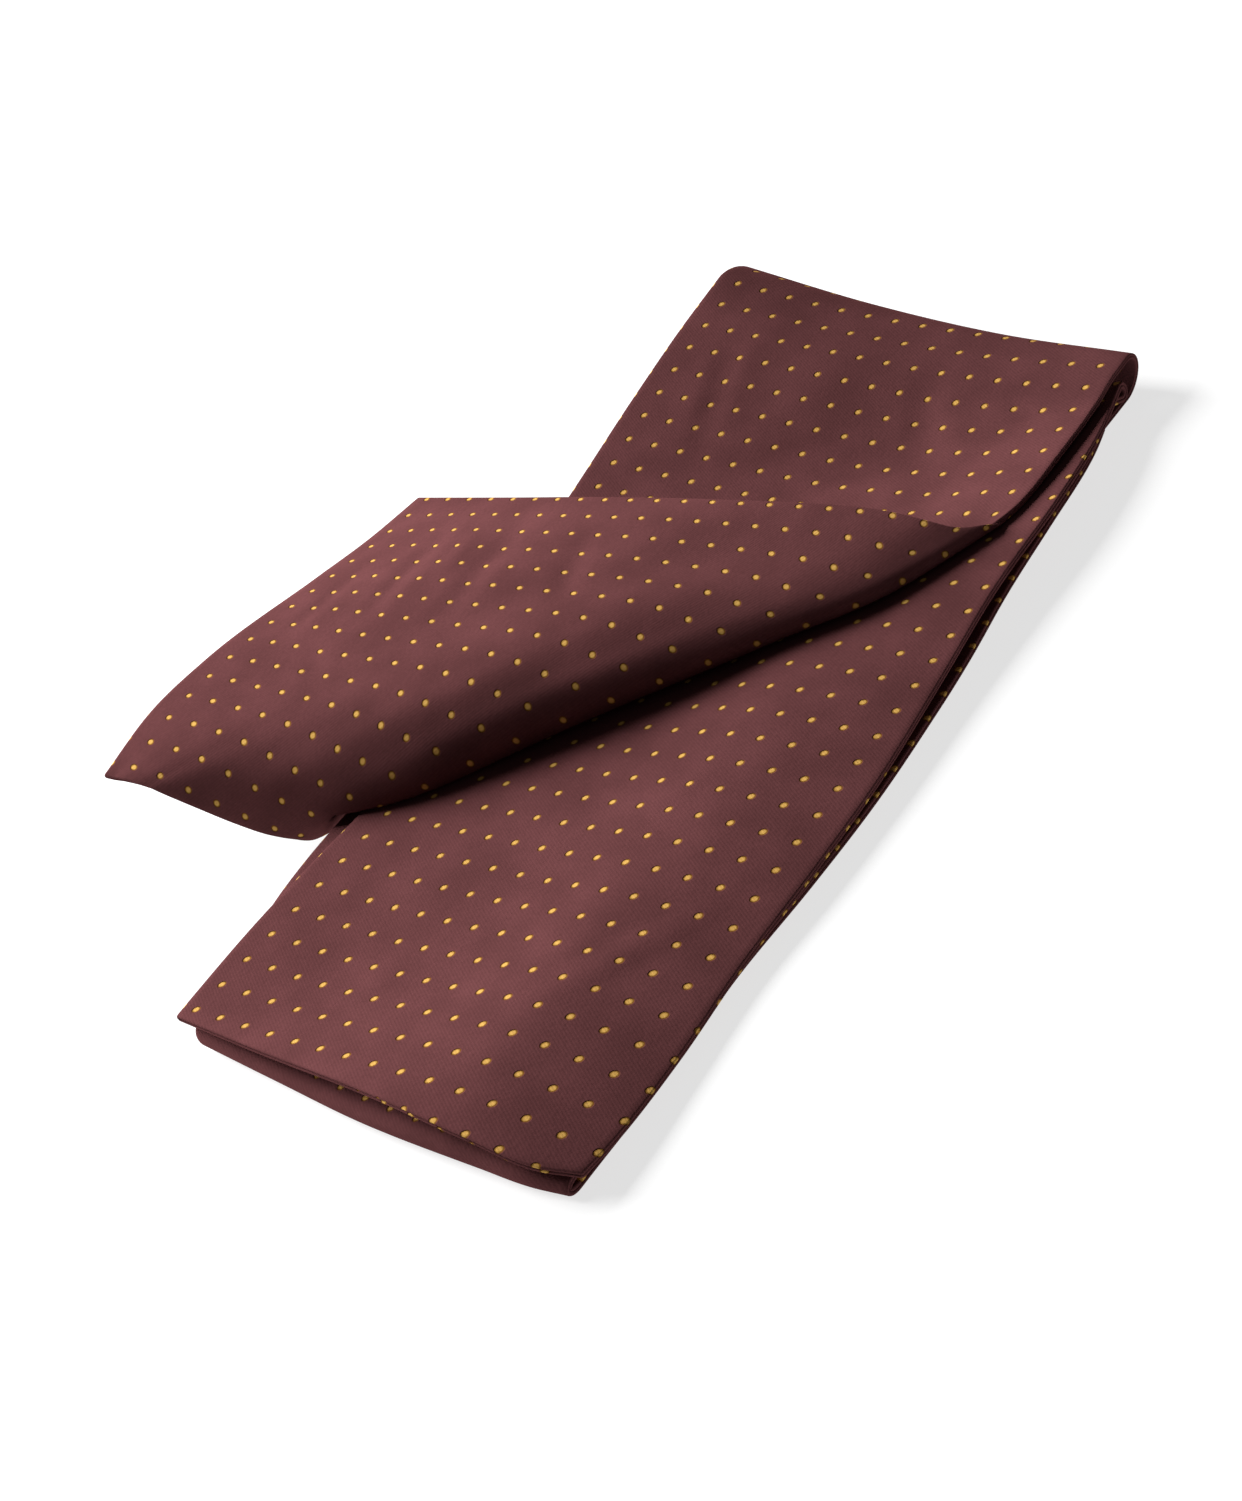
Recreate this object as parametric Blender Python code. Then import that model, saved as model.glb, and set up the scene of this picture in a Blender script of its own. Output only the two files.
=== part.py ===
"""Stock tie: one long flat tube of silk, folded up and laid on a surface.

Metres, +Z up. X runs across the folded band, Y along it towards the far fold.
The band holds three stretches of the strip on top of each other. The strip then
goes round a loose loop at the far end, comes back as a flap, rolls over on a
diagonal and ends as a blade that points to the left.
"""

from collections import namedtuple
import math

import bmesh
import bpy
import numpy as np

MM = 0.001

# The pressed strip.
WALL = 1.8 * MM                 # two plies of silk and the interlining between them
SEAM_GAP = 0.3 * MM             # clear space between two pieces
REST_GAP = 0.5 * MM             # clear space under a stretch that lies on the band
EDGE_ROUND = 0.35 * WALL        # how far a folded long edge bulges
DROOP_START = 6.0 * MM          # how far past the band's edge a stretch lies level
DROOP_SLOPE = 1.1               # steepest droop past that

# The object's own box is centred on the origin with this shift of the drawing.
DRAWING_SHIFT_X = 32.0 * MM
DRAWING_SHIFT_Y = -5.5 * MM

# Fineness of the solids.
BAND_COLUMNS = 14
BAND_ROW_STEPS = 3
STRIP_COLUMNS = 14
STRIP_ROW_STEPS = 2
LOOP_STEPS = 10
LAYER_GAP = 0.4 * MM            # clear space under the top stretch
LIP_ROUND = 0.7 * MM            # rounding of the hidden stretches' edges
SIDE_POINTS = 5                 # points round the lips and the slit of one edge
NOSE_LEVEL = 0.4                # height of the near fold's most forward line

# The band's top face, from the sewn end at the front to the far end: where the two
# long edges lie, and the height at the left edge, the quarters and the right edge.
BandRow = namedtuple("BandRow", "y left_x right_x left quarter middle three_quarter right")
BAND_ROWS = (
    BandRow(-117.0, -49.5, 52.2, 9.0, 9.6, 10.6, 10.0, 5.4),
    BandRow(-107.0, -50.0, 52.4, 8.7, 8.4, 9.4, 9.5, 5.2),
    BandRow(-88.0, -51.0, 51.5, 8.4, 6.8, 7.2, 8.2, 5.0),
    BandRow(-67.0, -52.0, 50.5, 7.9, 6.6, 6.7, 7.2, 4.9),
    BandRow(-44.0, -52.5, 51.3, 7.5, 6.7, 6.9, 7.4, 5.2),
    BandRow(-20.0, -53.0, 51.0, 7.2, 6.7, 7.0, 7.8, 5.8),
    BandRow(6.0, -53.5, 49.2, 7.0, 6.7, 7.1, 7.9, 6.6),
    BandRow(34.0, -55.0, 47.5, 7.0, 6.8, 7.2, 7.9, 7.2),
    BandRow(62.0, -57.5, 46.6, 7.1, 7.0, 7.2, 7.6, 7.4),
    BandRow(86.0, -60.0, 42.8, 7.2, 7.1, 7.2, 7.3, 7.2),
    BandRow(104.0, -62.0, 41.0, 7.2, 7.1, 7.1, 7.1, 7.0),
)
BAND_FOLD_RADIUS = 1.5 * MM     # middle of the wall, where the top stretch turns under
BAND_TAIL_END_Y = 97.0 * MM     # the hidden stretches are cut here, inside the far loop

# The two stretches under the top one: how far each folded edge stands out past the
# top one's, how far the slit between them opens and reaches in,
# and how far the top stretch arches clear of them at its middle.
LayerRow = namedtuple("LayerRow", "y left_out right_out slit_height slit_depth arch")
LAYER_ROWS = (
    LayerRow(-119.0, -2.0, -2.5, 1.3, 6.5, 3.6),
    LayerRow(-117.0, -1.6, -2.5, 1.3, 6.5, 3.2),
    LayerRow(-108.0, -0.5, -2.5, 1.1, 6.0, 1.2),
    LayerRow(-94.0, 1.0, -2.0, 0.5, 4.0, 0.0),
    LayerRow(-77.0, 5.5, -1.5, 0.5, 3.0, 0.0),
    LayerRow(-50.0, 8.0, -0.5, 0.5, 3.0, 0.0),
    LayerRow(-20.0, 8.0, -0.3, 0.6, 3.0, 0.0),
    LayerRow(20.0, 7.5, -1.2, 0.6, 3.0, 0.0),
    LayerRow(60.0, 6.5, -5.5, 0.5, 3.0, 0.0),
    LayerRow(97.0, 4.5, -5.0, 0.5, 3.0, 0.0),
)
NEAR_FOLD_Y = -118.6 * MM       # most forward line of the rounded fold under the sewn end
NEAR_END_REACH = 22.0 * MM      # how far back the near end's uneven line is felt
EndColumn = namedtuple("EndColumn", "across top_back fold_back")
NEAR_END = (                    # how far the sewn end and the fold lie back of straight
    EndColumn(0.0, 4.0, 7.0),
    EndColumn(0.25, 1.5, 3.6),
    EndColumn(0.5, 0.3, 1.7),
    EndColumn(0.75, 0.3, 1.1),
    EndColumn(1.0, 2.5, 2.2),
)
NEAR_FOLD_STEPS = (             # how far the fold reaches back and how full it is there
    (0.0, 0.25),
    (0.4, 0.60),
    (1.3, 0.88),
)

# The strip from the blade's sewn end, over the diagonal roll and along the flap to the
# far loop. Each row runs from one long edge to the other; heights are of the middle
# of the wall, at the left edge, the thirds and the right edge.
StripRow = namedtuple("StripRow", "left_x left_y right_x right_y left third two_thirds right")
BLADE_ROWS = (
    StripRow(-113.2, -71.4, -117.0, 38.0, 20.6, 24.6, 16.8, 14.0),
    StripRow(-101.5, -68.2, -88.8, 39.2, 17.0, 21.4, 18.2, 16.2),
    StripRow(-90.5, -66.0, -57.3, 42.6, 13.0, 19.2, 18.2, 17.8),
    StripRow(-81.5, -64.0, -24.5, 45.6, 9.4, 16.8, 16.8, 16.0),
    StripRow(-75.0, -62.5, 4.5, 47.5, 7.0, 13.6, 14.0, 13.6),
    StripRow(-70.5, -60.6, 28.0, 46.5, 5.6, 12.0, 12.2, 12.1),
    StripRow(-68.4, -59.2, 37.0, 46.6, 4.9, 11.4, 11.5, 11.6),
    StripRow(-67.2, -57.8, 39.2, 48.2, 4.0, 10.0, 10.1, 10.5),
    StripRow(-66.4, -55.4, 38.8, 50.4, 3.0, 8.6, 8.8, 9.3),
    StripRow(-66.0, -50.0, 38.8, 53.6, 2.8, 8.2, 8.5, 9.1),
    StripRow(-65.8, -38.0, 39.2, 58.2, 3.6, 8.2, 8.5, 9.1),
)
FLAP_ROWS = (
    StripRow(-66.4, -14.0, 39.6, 64.0, 6.2, 8.2, 8.5, 9.1),
    StripRow(-67.6, 15.0, 40.0, 74.0, 10.6, 8.6, 8.6, 9.1),
    StripRow(-68.5, 44.0, 40.0, 84.0, 15.6, 11.0, 8.8, 9.1),
    StripRow(-68.2, 72.0, 39.6, 93.0, 21.4, 15.0, 10.4, 9.0),
    StripRow(-67.4, 94.0, 39.2, 101.0, 26.0, 18.2, 12.0, 9.2),
)

# The far loop, round which the strip turns up from the floor: place of its centre
# and height of its top, at the left edge, the thirds and the right edge.
LoopColumn = namedtuple("LoopColumn", "x centre_y top")
LOOP_COLUMNS = (
    LoopColumn(-66.4, 113.2, 29.6),
    LoopColumn(-31.0, 113.2, 19.6),
    LoopColumn(5.0, 111.2, 12.6),
    LoopColumn(38.6, 108.4, 9.4),
)

SILK_COLOUR = (0.145, 0.045, 0.055, 1.0)
SILK_SHADE = (0.115, 0.036, 0.045, 1.0)
SILK_ROUGHNESS = 0.55
SHARP_ANGLE = math.radians(50.0)


def clear_scene():
    for old in list(bpy.data.objects):
        bpy.data.objects.remove(old, do_unlink=True)


def read_curve(stations, values, at):
    """Smooth curve through values at rising stations, read at the places at."""
    stations = np.asarray(stations, dtype=float)
    values = np.asarray(values, dtype=float)
    slopes = np.gradient(values, stations, axis=0)
    at = np.clip(np.asarray(at, dtype=float), stations[0], stations[-1])
    index = np.clip(np.searchsorted(stations, at, side="right") - 1, 0, len(stations) - 2)
    span = stations[index + 1] - stations[index]
    u = (at - stations[index]) / span
    shape = (-1,) + (1,) * (values.ndim - 1)
    u = u.reshape(shape)
    span = span.reshape(shape)
    start = values[index]
    end = values[index + 1]
    return (
        start * (1 + 2 * u) * (1 - u) ** 2
        + end * u ** 2 * (3 - 2 * u)
        + slopes[index] * span * u * (1 - u) ** 2
        + slopes[index + 1] * span * u ** 2 * (u - 1)
    )


def band_edges(y):
    """Left and right edge of the band's top stretch at the places y, in metres."""
    stations = [row.y * MM for row in BAND_ROWS]
    left = read_curve(stations, [row.left_x * MM for row in BAND_ROWS], y)
    right = read_curve(stations, [row.right_x * MM for row in BAND_ROWS], y)
    return left, right


def band_heights(y, across):
    """Top face of the band at one place y, at the fractions across from 0 to 1."""
    stations = [row.y * MM for row in BAND_ROWS]
    table = [[value * MM for value in row[3:]] for row in BAND_ROWS]
    row = read_curve(stations, table, [y])[0]
    return read_curve([0.0, 0.25, 0.5, 0.75, 1.0], row, across)


def near_end_back(column, across, y):
    """How far points near the front end lie back, so that its line is uneven."""
    stations = [row.across for row in NEAR_END]
    back = read_curve(stations, [row[column] * MM for row in NEAR_END], across)
    inside = np.clip((BAND_ROWS[0].y * MM + NEAR_END_REACH - y) / NEAR_END_REACH, 0.0, 1.0)
    return back * inside ** 2


def rest_height(x, y):
    """Lowest middle of a wall that lies on the band, or hangs over its edge."""
    left, right = (float(edge[0]) for edge in band_edges([y]))
    across = np.clip((x - left) / (right - left), 0.0, 1.0)
    top = float(band_heights(y, [across])[0])
    outside = max(left - DROOP_START - x, x - right - DROOP_START, 0.0)
    return max(top + REST_GAP + 0.5 * WALL - DROOP_SLOPE * outside, 0.5 * WALL + SEAM_GAP)


def refine_rows(rows, steps):
    """More rows along a strip, on smooth curves through the given rows of points."""
    rows = np.asarray(rows, dtype=float)
    gaps = np.linalg.norm(np.diff(rows, axis=0), axis=2).mean(axis=1)
    stations = np.concatenate([[0.0], np.cumsum(gaps)])
    places = [
        stations[i] + (stations[i + 1] - stations[i]) * k / steps
        for i in range(len(stations) - 1)
        for k in range(steps)
    ]
    return read_curve(stations, rows, places + [stations[-1]])


def strip_row_points(row):
    """Points across the strip on one row of the blade or the flap."""
    across = np.linspace(0.0, 1.0, STRIP_COLUMNS)
    x = (row.left_x + (row.right_x - row.left_x) * across) * MM
    y = (row.left_y + (row.right_y - row.left_y) * across) * MM
    thirds = [0.0, 1 / 3, 2 / 3, 1.0]
    z = read_curve(thirds, [value * MM for value in row[4:]], across)
    return np.column_stack([x, y, z])


def loop_rows():
    """Rows of points down round the far loop and along the floor to its hidden end."""
    across = np.linspace(0.0, 1.0, STRIP_COLUMNS)
    thirds = [0.0, 1 / 3, 2 / 3, 1.0]
    columns = read_curve(thirds, [[value * MM for value in c] for c in LOOP_COLUMNS], across)
    x, centre_y, top = columns.T
    low = 0.5 * WALL
    radius = 0.5 * (top - low)
    rows = []
    for step in range(LOOP_STEPS + 1):
        angle = math.pi * step / LOOP_STEPS
        y = centre_y + radius * math.sin(angle)
        z = low + radius * (1.0 + math.cos(angle))
        rows.append(np.column_stack([x, y, z]))
    tail_y = np.full(STRIP_COLUMNS, BAND_TAIL_END_Y)
    rows.append(np.column_stack([x, tail_y, np.full(STRIP_COLUMNS, low)]))
    return rows


def rest_on_band(rows):
    """Lift the points of a stretch that would sink into the band under it."""
    lifted = np.array(rows)
    for row in lifted:
        for point in row:
            point[2] = max(point[2], rest_height(point[0], point[1]))
    return lifted


def grid_normals(grid):
    along = np.gradient(grid, axis=0)
    across = np.gradient(grid, axis=1)
    normals = np.cross(across, along)
    return normals / np.linalg.norm(normals, axis=2, keepdims=True)


def wall_cap(columns):
    """Faces that close the end of a wall: its ring runs left, upper, right, lower."""
    last = 2 * columns + 1
    faces = [(0, 1, last), (columns, columns + 1, columns + 2)]
    for c in range(columns - 1):
        faces.append((c + 1, c + 2, last - c - 1, last - c))
    return faces


def layer_cap(columns):
    """Faces that close the stack's end: quads, and one face round each edge's slit."""
    last = 2 * columns + SIDE_POINTS - 1
    faces = []
    for c in range(1, columns - 2):
        faces.append((c, c + 1, last - c - 1, last - c))
    right_edge = range(columns - 2, last - columns + 3)
    left_edge = [*range(last - 1, last + SIDE_POINTS + 1), 0, 1]
    return faces + [tuple(right_edge), tuple(left_edge)]


def add_body(name, rings, cap, colour):
    """Closed body lofted through rings of points and closed by the cap's faces."""
    shape = bmesh.new()
    shift = np.array([DRAWING_SHIFT_X, DRAWING_SHIFT_Y, 0.0])
    loops = [[shape.verts.new(point + shift) for point in ring] for ring in rings]
    size = len(loops[0])
    for first, second in zip(loops, loops[1:]):
        for k in range(size):
            after = (k + 1) % size
            shape.faces.new((first[k], first[after], second[after], second[k]))
    for ring in (loops[0], loops[-1]):
        for corners in cap:
            shape.faces.new([ring[k] for k in corners])
    bmesh.ops.triangulate(shape, faces=shape.faces[:])
    bmesh.ops.recalc_face_normals(shape, faces=shape.faces[:])
    mesh = bpy.data.meshes.new(name)
    shape.to_mesh(mesh)
    shape.free()
    mesh.shade_smooth()
    mesh.set_sharp_from_angle(angle=SHARP_ANGLE)
    mesh.materials.append(silk_material(name, colour))
    piece = bpy.data.objects.new(name, mesh)
    bpy.context.scene.collection.objects.link(piece)


def silk_material(name, colour):
    material = bpy.data.materials.new(name + "_silk")
    material.use_nodes = True
    surface = material.node_tree.nodes["Principled BSDF"]
    surface.inputs["Base Color"].default_value = colour
    surface.inputs["Roughness"].default_value = SILK_ROUGHNESS
    surface.inputs["Metallic"].default_value = 0.0
    return material


def wall_rings(grid):
    """Rings round a wall of cloth whose middle is the grid of points."""
    normals = grid_normals(grid)
    upper = grid + normals * 0.5 * WALL
    lower = grid - normals * 0.5 * WALL
    rings = []
    for middle, over, under in zip(grid, upper, lower):
        left_out = middle[0] - middle[1]
        right_out = middle[-1] - middle[-2]
        left = middle[0] + left_out / np.linalg.norm(left_out) * EDGE_ROUND
        right = middle[-1] + right_out / np.linalg.norm(right_out) * EDGE_ROUND
        rings.append([left, *over, right, *under[::-1]])
    return rings


def band_places():
    """Places along the band where its sections are taken."""
    stations = [row.y * MM for row in BAND_ROWS]
    places = [
        start + (end - start) * k / BAND_ROW_STEPS
        for start, end in zip(stations, stations[1:])
        for k in range(BAND_ROW_STEPS)
    ]
    return places + [stations[-1]]


def top_stretch_grid():
    """Middle of the band's top stretch, with the fold that turns it under far away."""
    across = np.linspace(0.0, 1.0, BAND_COLUMNS)
    rows = []
    for y in band_places():
        left, right = (float(edge[0]) for edge in band_edges([y]))
        x = left + (right - left) * across
        z = band_heights(y, across) - 0.5 * WALL
        rows.append(np.column_stack([x, y + near_end_back(1, across, y), z]))
    last = rows[-1]
    for step in range(1, 5):
        angle = math.pi * step / 4
        turned = last.copy()
        turned[:, 1] += BAND_FOLD_RADIUS * math.sin(angle)
        turned[:, 2] -= BAND_FOLD_RADIUS * (1.0 - math.cos(angle))
        rows.append(turned)
    tail = rows[-1].copy()
    tail[:, 1] = BAND_TAIL_END_Y + SEAM_GAP
    rows.append(tail)
    return np.array(rows)


def layer_ring(y, fullness):
    """One ring of the hidden stretches: a stack of two, with a slit at each edge."""
    table = [[value * MM for value in row[1:]] for row in LAYER_ROWS]
    layer = read_curve([row.y * MM for row in LAYER_ROWS], table, [y])[0]
    left_out, right_out, slit_height, slit_depth, arch = layer
    top_left, top_right = (float(edge[0]) for edge in band_edges([y]))
    left = top_left - left_out
    right = top_right + right_out
    across = np.linspace(0.0, 1.0, BAND_COLUMNS)
    x = left + (right - left) * across
    under = np.clip((x - top_left) / (top_right - top_left), 0.0, 1.0)
    top = band_heights(y, under) - WALL - LAYER_GAP - arch * np.sin(math.pi * across)
    middle = NOSE_LEVEL * top
    upper_z = middle + (top - middle) * fullness
    lower_z = middle * (1.0 - fullness)
    places = y + near_end_back(2, across, y)
    upper = np.column_stack([x, places, upper_z])
    lower = np.column_stack([x, places, lower_z])
    for run in (upper, lower):
        run[0, 0] += LIP_ROUND
        run[-1, 0] -= LIP_ROUND

    def edge_points(edge_x, edge_y, inward, high, low):
        slit = 0.5 * (high + low)
        half = 0.5 * slit_height * fullness
        return [
            np.array([edge_x, edge_y, 0.5 * (high + slit + half)]),
            np.array([edge_x + inward * LIP_ROUND, edge_y, slit + half]),
            np.array([edge_x + inward * slit_depth, edge_y, slit]),
            np.array([edge_x + inward * LIP_ROUND, edge_y, slit - half]),
            np.array([edge_x, edge_y, 0.5 * (low + slit - half)]),
        ]

    right_side = edge_points(right, places[-1], -1.0, upper_z[-1], lower_z[-1])
    left_side = edge_points(left, places[0], 1.0, upper_z[0], lower_z[0])
    return [*upper, *right_side, *lower[::-1], *left_side[::-1]]


def layer_rings():
    """Rings of the hidden stretches, from their rounded fold at the front."""
    nose = [layer_ring(NEAR_FOLD_Y + back * MM, full) for back, full in NEAR_FOLD_STEPS]
    end = BAND_TAIL_END_Y - SEAM_GAP
    places = [y for y in band_places()[1:] if y < end - 2.0 * MM] + [end]
    start = NEAR_FOLD_Y + 3.0 * MM
    return nose + [layer_ring(y, 1.0) for y in [start] + places]


def strip_grids():
    """Middle of the blade with its roll, and of the flap with the far loop."""
    rows = [strip_row_points(row) for row in BLADE_ROWS + FLAP_ROWS]
    loop = loop_rows()
    fine = rest_on_band(refine_rows(rows + loop[:1], STRIP_ROW_STEPS))
    cut = (len(BLADE_ROWS) - 1) * STRIP_ROW_STEPS
    blade = fine[:cut + 1]
    flap = np.concatenate([fine[cut:], np.array(loop[1:])])
    step = flap[1] - flap[0]
    flap[0] += step * SEAM_GAP / np.linalg.norm(step, axis=1, keepdims=True)
    return blade, flap


def main():
    clear_scene()
    blade, flap = strip_grids()
    add_body("blade", wall_rings(blade), wall_cap(STRIP_COLUMNS), SILK_COLOUR)
    add_body("flap", wall_rings(flap), wall_cap(STRIP_COLUMNS), SILK_COLOUR)
    add_body("top_layer", wall_rings(top_stretch_grid()), wall_cap(BAND_COLUMNS), SILK_COLOUR)
    add_body("lower_layers", layer_rings(), layer_cap(BAND_COLUMNS), SILK_SHADE)


main()
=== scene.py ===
"""Looks of the folded stock tie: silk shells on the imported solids, floor, light and camera.

Each shell follows its solid's form, in millimetres of one drawing, with finer rows.
Every stretch is a flattened tube, so a shell has two plies and two folded long edges.
Its UV map counts the woven dots' spacings: u goes round the tube, v along it.
"""

from collections import namedtuple
import math

import bpy
from mathutils import Matrix, Vector
import numpy as np


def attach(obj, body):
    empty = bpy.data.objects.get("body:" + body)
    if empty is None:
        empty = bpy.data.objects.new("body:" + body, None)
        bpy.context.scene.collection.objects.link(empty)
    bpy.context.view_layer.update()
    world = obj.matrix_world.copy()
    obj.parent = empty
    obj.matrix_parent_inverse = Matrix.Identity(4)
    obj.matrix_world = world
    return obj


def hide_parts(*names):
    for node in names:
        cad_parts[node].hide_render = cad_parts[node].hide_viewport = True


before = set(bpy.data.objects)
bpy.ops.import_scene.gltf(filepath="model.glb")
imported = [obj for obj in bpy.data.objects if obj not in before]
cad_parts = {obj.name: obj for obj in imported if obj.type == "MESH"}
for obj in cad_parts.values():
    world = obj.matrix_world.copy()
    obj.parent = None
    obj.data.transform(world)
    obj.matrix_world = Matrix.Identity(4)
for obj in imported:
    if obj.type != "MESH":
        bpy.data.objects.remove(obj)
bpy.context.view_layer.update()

MM = 0.001

# Drawing and strip, in millimetres.
SHIFT = (32.0, -5.5, 0.0)       # from the drawing to the part's own frame
PITCH = 7.18                    # spacing of the woven dots
CAD_WALL = 1.8                  # wall of the solids, whose shown face the shells keep
STRIP_WIDTH = 108.0
BAND_WIDTH = 104.0              # of the top stretch, which is pressed a little narrower
REST_GAP = 0.25                 # clear space between the band and what lies on it
REST_BLEND = 0.3                # reach of the soft change from hanging to resting
LOWEST_REST = 0.3               # clear space over the surface, beside the band
DROOP_START = 6.0               # how far past the band's edge cloth starts to hang down
DROOP_SLOPE = 1.1

# Cloth.
HIDDEN_PLY = 0.35               # how far the hidden ply lies behind the middle of the wall
STACK_WALL = 1.5                # thickness of a pressed stretch in the band
LIP = 0.38                      # bulge of each ply round a folded edge
SLIT = 0.25                     # depth of the slit between the two plies there
HEM_TURN = 1.5                  # how far a turned end reaches back inside
CELL = 1.25                     # size of a shell's cells
LAYER_CELL = 2.2                # the same along the two lower stretches
TURN_ROWS = 24                  # rows over which the shown ply becomes the hidden one

BandRow = namedtuple("BandRow", "y left_x right_x left quarter middle ridge outer right")
BAND_ROWS = (
    BandRow(-117.0, -50.3, 52.9, 8.8, 9.0, 10.2, 10.3, 8.4, 5.2),
    BandRow(-107.0, -51.4, 53.4, 8.5, 8.0, 9.2, 9.7, 7.7, 4.7),
    BandRow(-88.0, -53.0, 52.8, 8.3, 6.6, 7.0, 8.6, 6.6, 3.9),
    BandRow(-67.0, -53.8, 51.4, 7.8, 6.9, 6.7, 7.6, 6.0, 3.8),
    BandRow(-44.0, -53.6, 51.8, 7.4, 6.8, 7.0, 7.8, 6.5, 4.4),
    BandRow(-20.0, -53.4, 51.4, 7.2, 6.6, 6.8, 8.3, 6.9, 4.9),
    BandRow(6.0, -53.5, 49.5, 7.0, 6.5, 6.8, 8.3, 7.7, 6.0),
    BandRow(34.0, -55.0, 47.5, 7.0, 6.5, 6.6, 7.4, 8.2, 7.8),
    BandRow(62.0, -57.5, 46.9, 7.0, 6.4, 5.8, 5.6, 7.2, 8.6),
    BandRow(86.0, -60.0, 44.0, 7.0, 6.4, 5.6, 5.6, 7.0, 8.2),
    BandRow(104.0, -62.0, 39.4, 7.0, 6.4, 5.8, 5.8, 6.6, 7.4),
)
BAND_PLACES = (0.0, 0.25, 0.5, 0.73, 0.87, 1.0)
BAND_FOLD_RADIUS = 1.5
BAND_FOLD_STEPS = 16
TAIL_CUT_Y = 60.0               # where the top piece's hidden part meets the lower piece
FLOOR_CUT_Y = 97.0              # where the floor stretch passes to the flap's piece
NEAR_END_REACH = 22.0
EndColumn = namedtuple("EndColumn", "across top_back fold_back")
NEAR_END = (
    EndColumn(0.0, 4.4, 6.6),
    EndColumn(0.25, 3.0, 4.4),
    EndColumn(0.5, 1.5, 2.0),
    EndColumn(0.8, -0.4, 1.1),
    EndColumn(0.93, 0.0, 1.2),
    EndColumn(1.0, 2.5, 2.2),
)
NEAR_FOLD_Y = -118.6
NEAR_FOLD_DEPTH = 2.6           # how far its round front stands out
NEAR_FOLD_FULLNESS = 0.8        # below one, its section is fuller than a circle

# Second and floor stretch: how far their folded edges stand out past the top one's,
# the clear space under the top stretch at its edges, and its arch at the middle.
LayerRow = namedtuple("LayerRow", "y second_left second_right floor_left floor_right gap arch")
LAYER_ROWS = (
    LayerRow(-119.0, -3.4, -2.5, -4.0, -2.5, 0.9, 3.6),
    LayerRow(-108.0, -1.8, -3.8, -2.4, -3.0, 0.7, 1.2),
    LayerRow(-94.0, -0.4, -4.6, -1.2, -2.6, 0.5, 0.0),
    LayerRow(-77.0, 3.6, -4.6, 2.4, -2.2, 0.5, 0.0),
    LayerRow(-50.0, 6.8, -3.8, 6.0, -1.6, 0.5, 0.0),
    LayerRow(-20.0, 7.6, -3.0, 7.4, -1.0, 0.6, 0.0),
    LayerRow(20.0, 7.0, -2.2, 7.2, -1.2, 0.6, 0.0),
    LayerRow(60.0, 5.6, -2.2, 6.4, -4.6, 0.5, 0.0),
    LayerRow(97.0, 3.4, -2.4, 4.9, -3.9, 0.4, 0.0),
    LayerRow(106.0, 1.0, -1.2, 4.5, -3.9, 0.4, 0.0),
)

# Soft troughs, and ridges where the depth is below zero, from one place to another.
Crease = namedtuple("Crease", "start_x start_y end_x end_y width depth")
STRIP_CREASES = (
    Crease(-88.0, 27.0, -79.0, -20.0, 4.5, 0.45),
    Crease(-100.0, 16.0, -96.0, -30.0, 4.0, 0.3),
    Crease(-68.0, 32.0, -58.0, -18.0, 5.5, 0.4),
    Crease(-92.0, -18.0, -70.0, -42.0, 4.0, 0.25),
    Crease(-46.0, 28.0, -34.0, -4.0, 5.0, 0.3),
    Crease(-78.0, 26.0, -70.0, -2.0, 3.5, -0.25),
    Crease(-54.0, 102.0, -44.0, 58.0, 5.0, 0.35),
    Crease(-6.0, 104.0, 8.0, 70.0, 6.0, 0.3),
    Crease(18.0, 92.0, 36.0, 84.0, 3.5, 0.3),
)
BAND_CREASES = (
    Crease(-44.0, -72.0, -4.0, -86.0, 5.0, 0.25),
    Crease(-14.0, -58.0, 26.0, -64.0, 6.0, 0.25),
    Crease(-48.0, -96.0, -2.0, -104.0, 4.5, 0.2),
    Crease(18.0, -96.0, 44.0, -50.0, 5.0, -0.25),
)

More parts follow.
